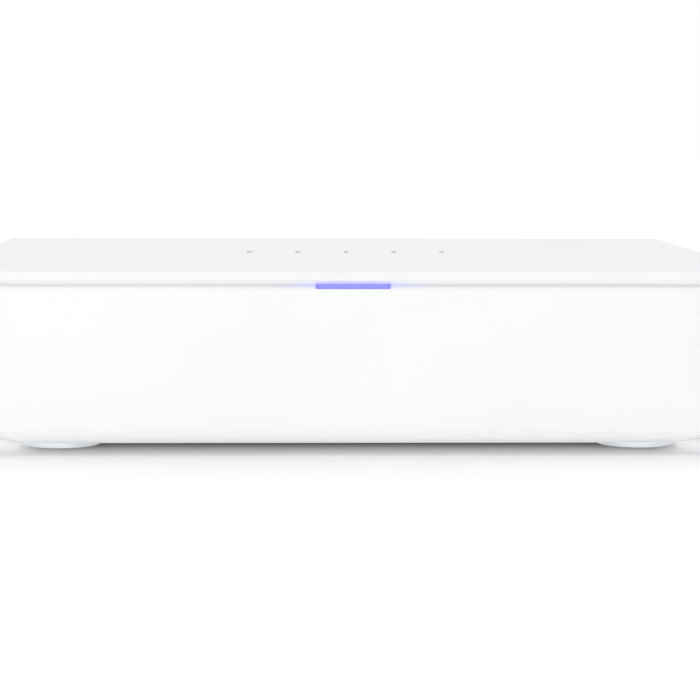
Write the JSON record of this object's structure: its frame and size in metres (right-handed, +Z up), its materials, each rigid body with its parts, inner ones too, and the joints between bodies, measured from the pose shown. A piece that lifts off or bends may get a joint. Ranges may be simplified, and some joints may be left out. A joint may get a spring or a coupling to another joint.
{
  "type": "firewall appliance",
  "caption": "Desktop network firewall in a white moulded case with a flat lid, a front light bar, port light windows, rubber feet and rear sockets.",
  "frame": {"origin": "on the table under the middle of the case", "axes": "+X to the right seen from the front, +Y from the front to the rear, +Z up"},
  "size_m": [0.21, 0.17, 0.047],
  "materials": {
    "case_white": "satin moulded white with a very fine texture",
    "panel_grey": "fine moulded texture, pale grey",
    "light_violet": "clear light guide, lit violet-blue",
    "smoked_clear": "smoky clear plastic",
    "foot_rubber": "pale bluish grey, matt",
    "screw_steel": "zinc plated",
    "plated_steel": "nickel plated, satin",
    "brass": "turned",
    "board_green": "solder mask over glass fibre",
    "chip_black": "moulded epoxy",
    "pad_grey": "soft pad",
    "sink_aluminium": "extruded, clear anodised",
    "capacitor_can": "sleeved can",
    "inductor_grey": "pressed ferrite",
    "socket_black": "moulded, satin",
    "contact_gold": "gold plated",
    "indicator_lens": "milky lens, unlit",
    "tongue_blue": "moulded",
    "rocker_black": "moulded, soft gloss",
    "button_grey": "moulded"
  },
  "bodies": {
    "case": {"lower_shell": "case_white", "top_cover": "case_white", "rear_panel": "panel_grey", "front_light_guide": "light_violet", "port_light_pipes": "smoked_clear", "foot_front_left": "foot_rubber", "foot_front_right": "foot_rubber", "foot_rear_left": "foot_rubber", "foot_rear_right": "foot_rubber", "case_screws": "screw_steel", "threaded_inserts": "brass", "main_board": "board_green", "board_screws": "screw_steel", "processor": "chip_black", "thermal_pad": "pad_grey", "heat_sink": "sink_aluminium", "heat_sink_posts": "brass", "heat_sink_screws": "screw_steel", "memory_chips": "chip_black", "storage_chip": "chip_black", "switch_chip": "chip_black", "line_transformers": "chip_black", "power_capacitors": "capacitor_can", "power_inductors": "inductor_grey", "battery_holder": "chip_black", "clock_battery": "plated_steel", "lan_jack_block": "socket_black", "lan_contacts": "contact_gold", "wan_jack": "socket_black", "wan_contacts": "contact_gold", "jack_lights": "indicator_lens", "type_a_shell": "plated_steel", "type_a_tongue": "tongue_blue", "type_c_shell": "plated_steel", "type_c_tongue": "chip_black", "power_inlet": "socket_black", "inlet_pin": "plated_steel", "power_switch_frame": "socket_black", "rocker_pin": "screw_steel", "reset_switch": "chip_black", "status_light": "light_violet", "port_lights": "indicator_lens", "lock_plate": "plated_steel"},
    "rocker": {"power_rocker": "rocker_black"},
    "reset": {"reset_button": "button_grey"}
  },
  "joints": [
    {"name": "rocker_tilt", "type": "hinge", "parent": "case", "child": "rocker", "pos_m": [0.071, 0.0812, 0.0235], "axis": [1, 0, 0], "range_deg": [-18, 0]},
    {"name": "reset_press", "type": "slide", "parent": "case", "child": "reset", "axis": [0, -1, 0], "range_m": [0, 0.0005], "stiffness_N_per_m": 1200}
  ]
}
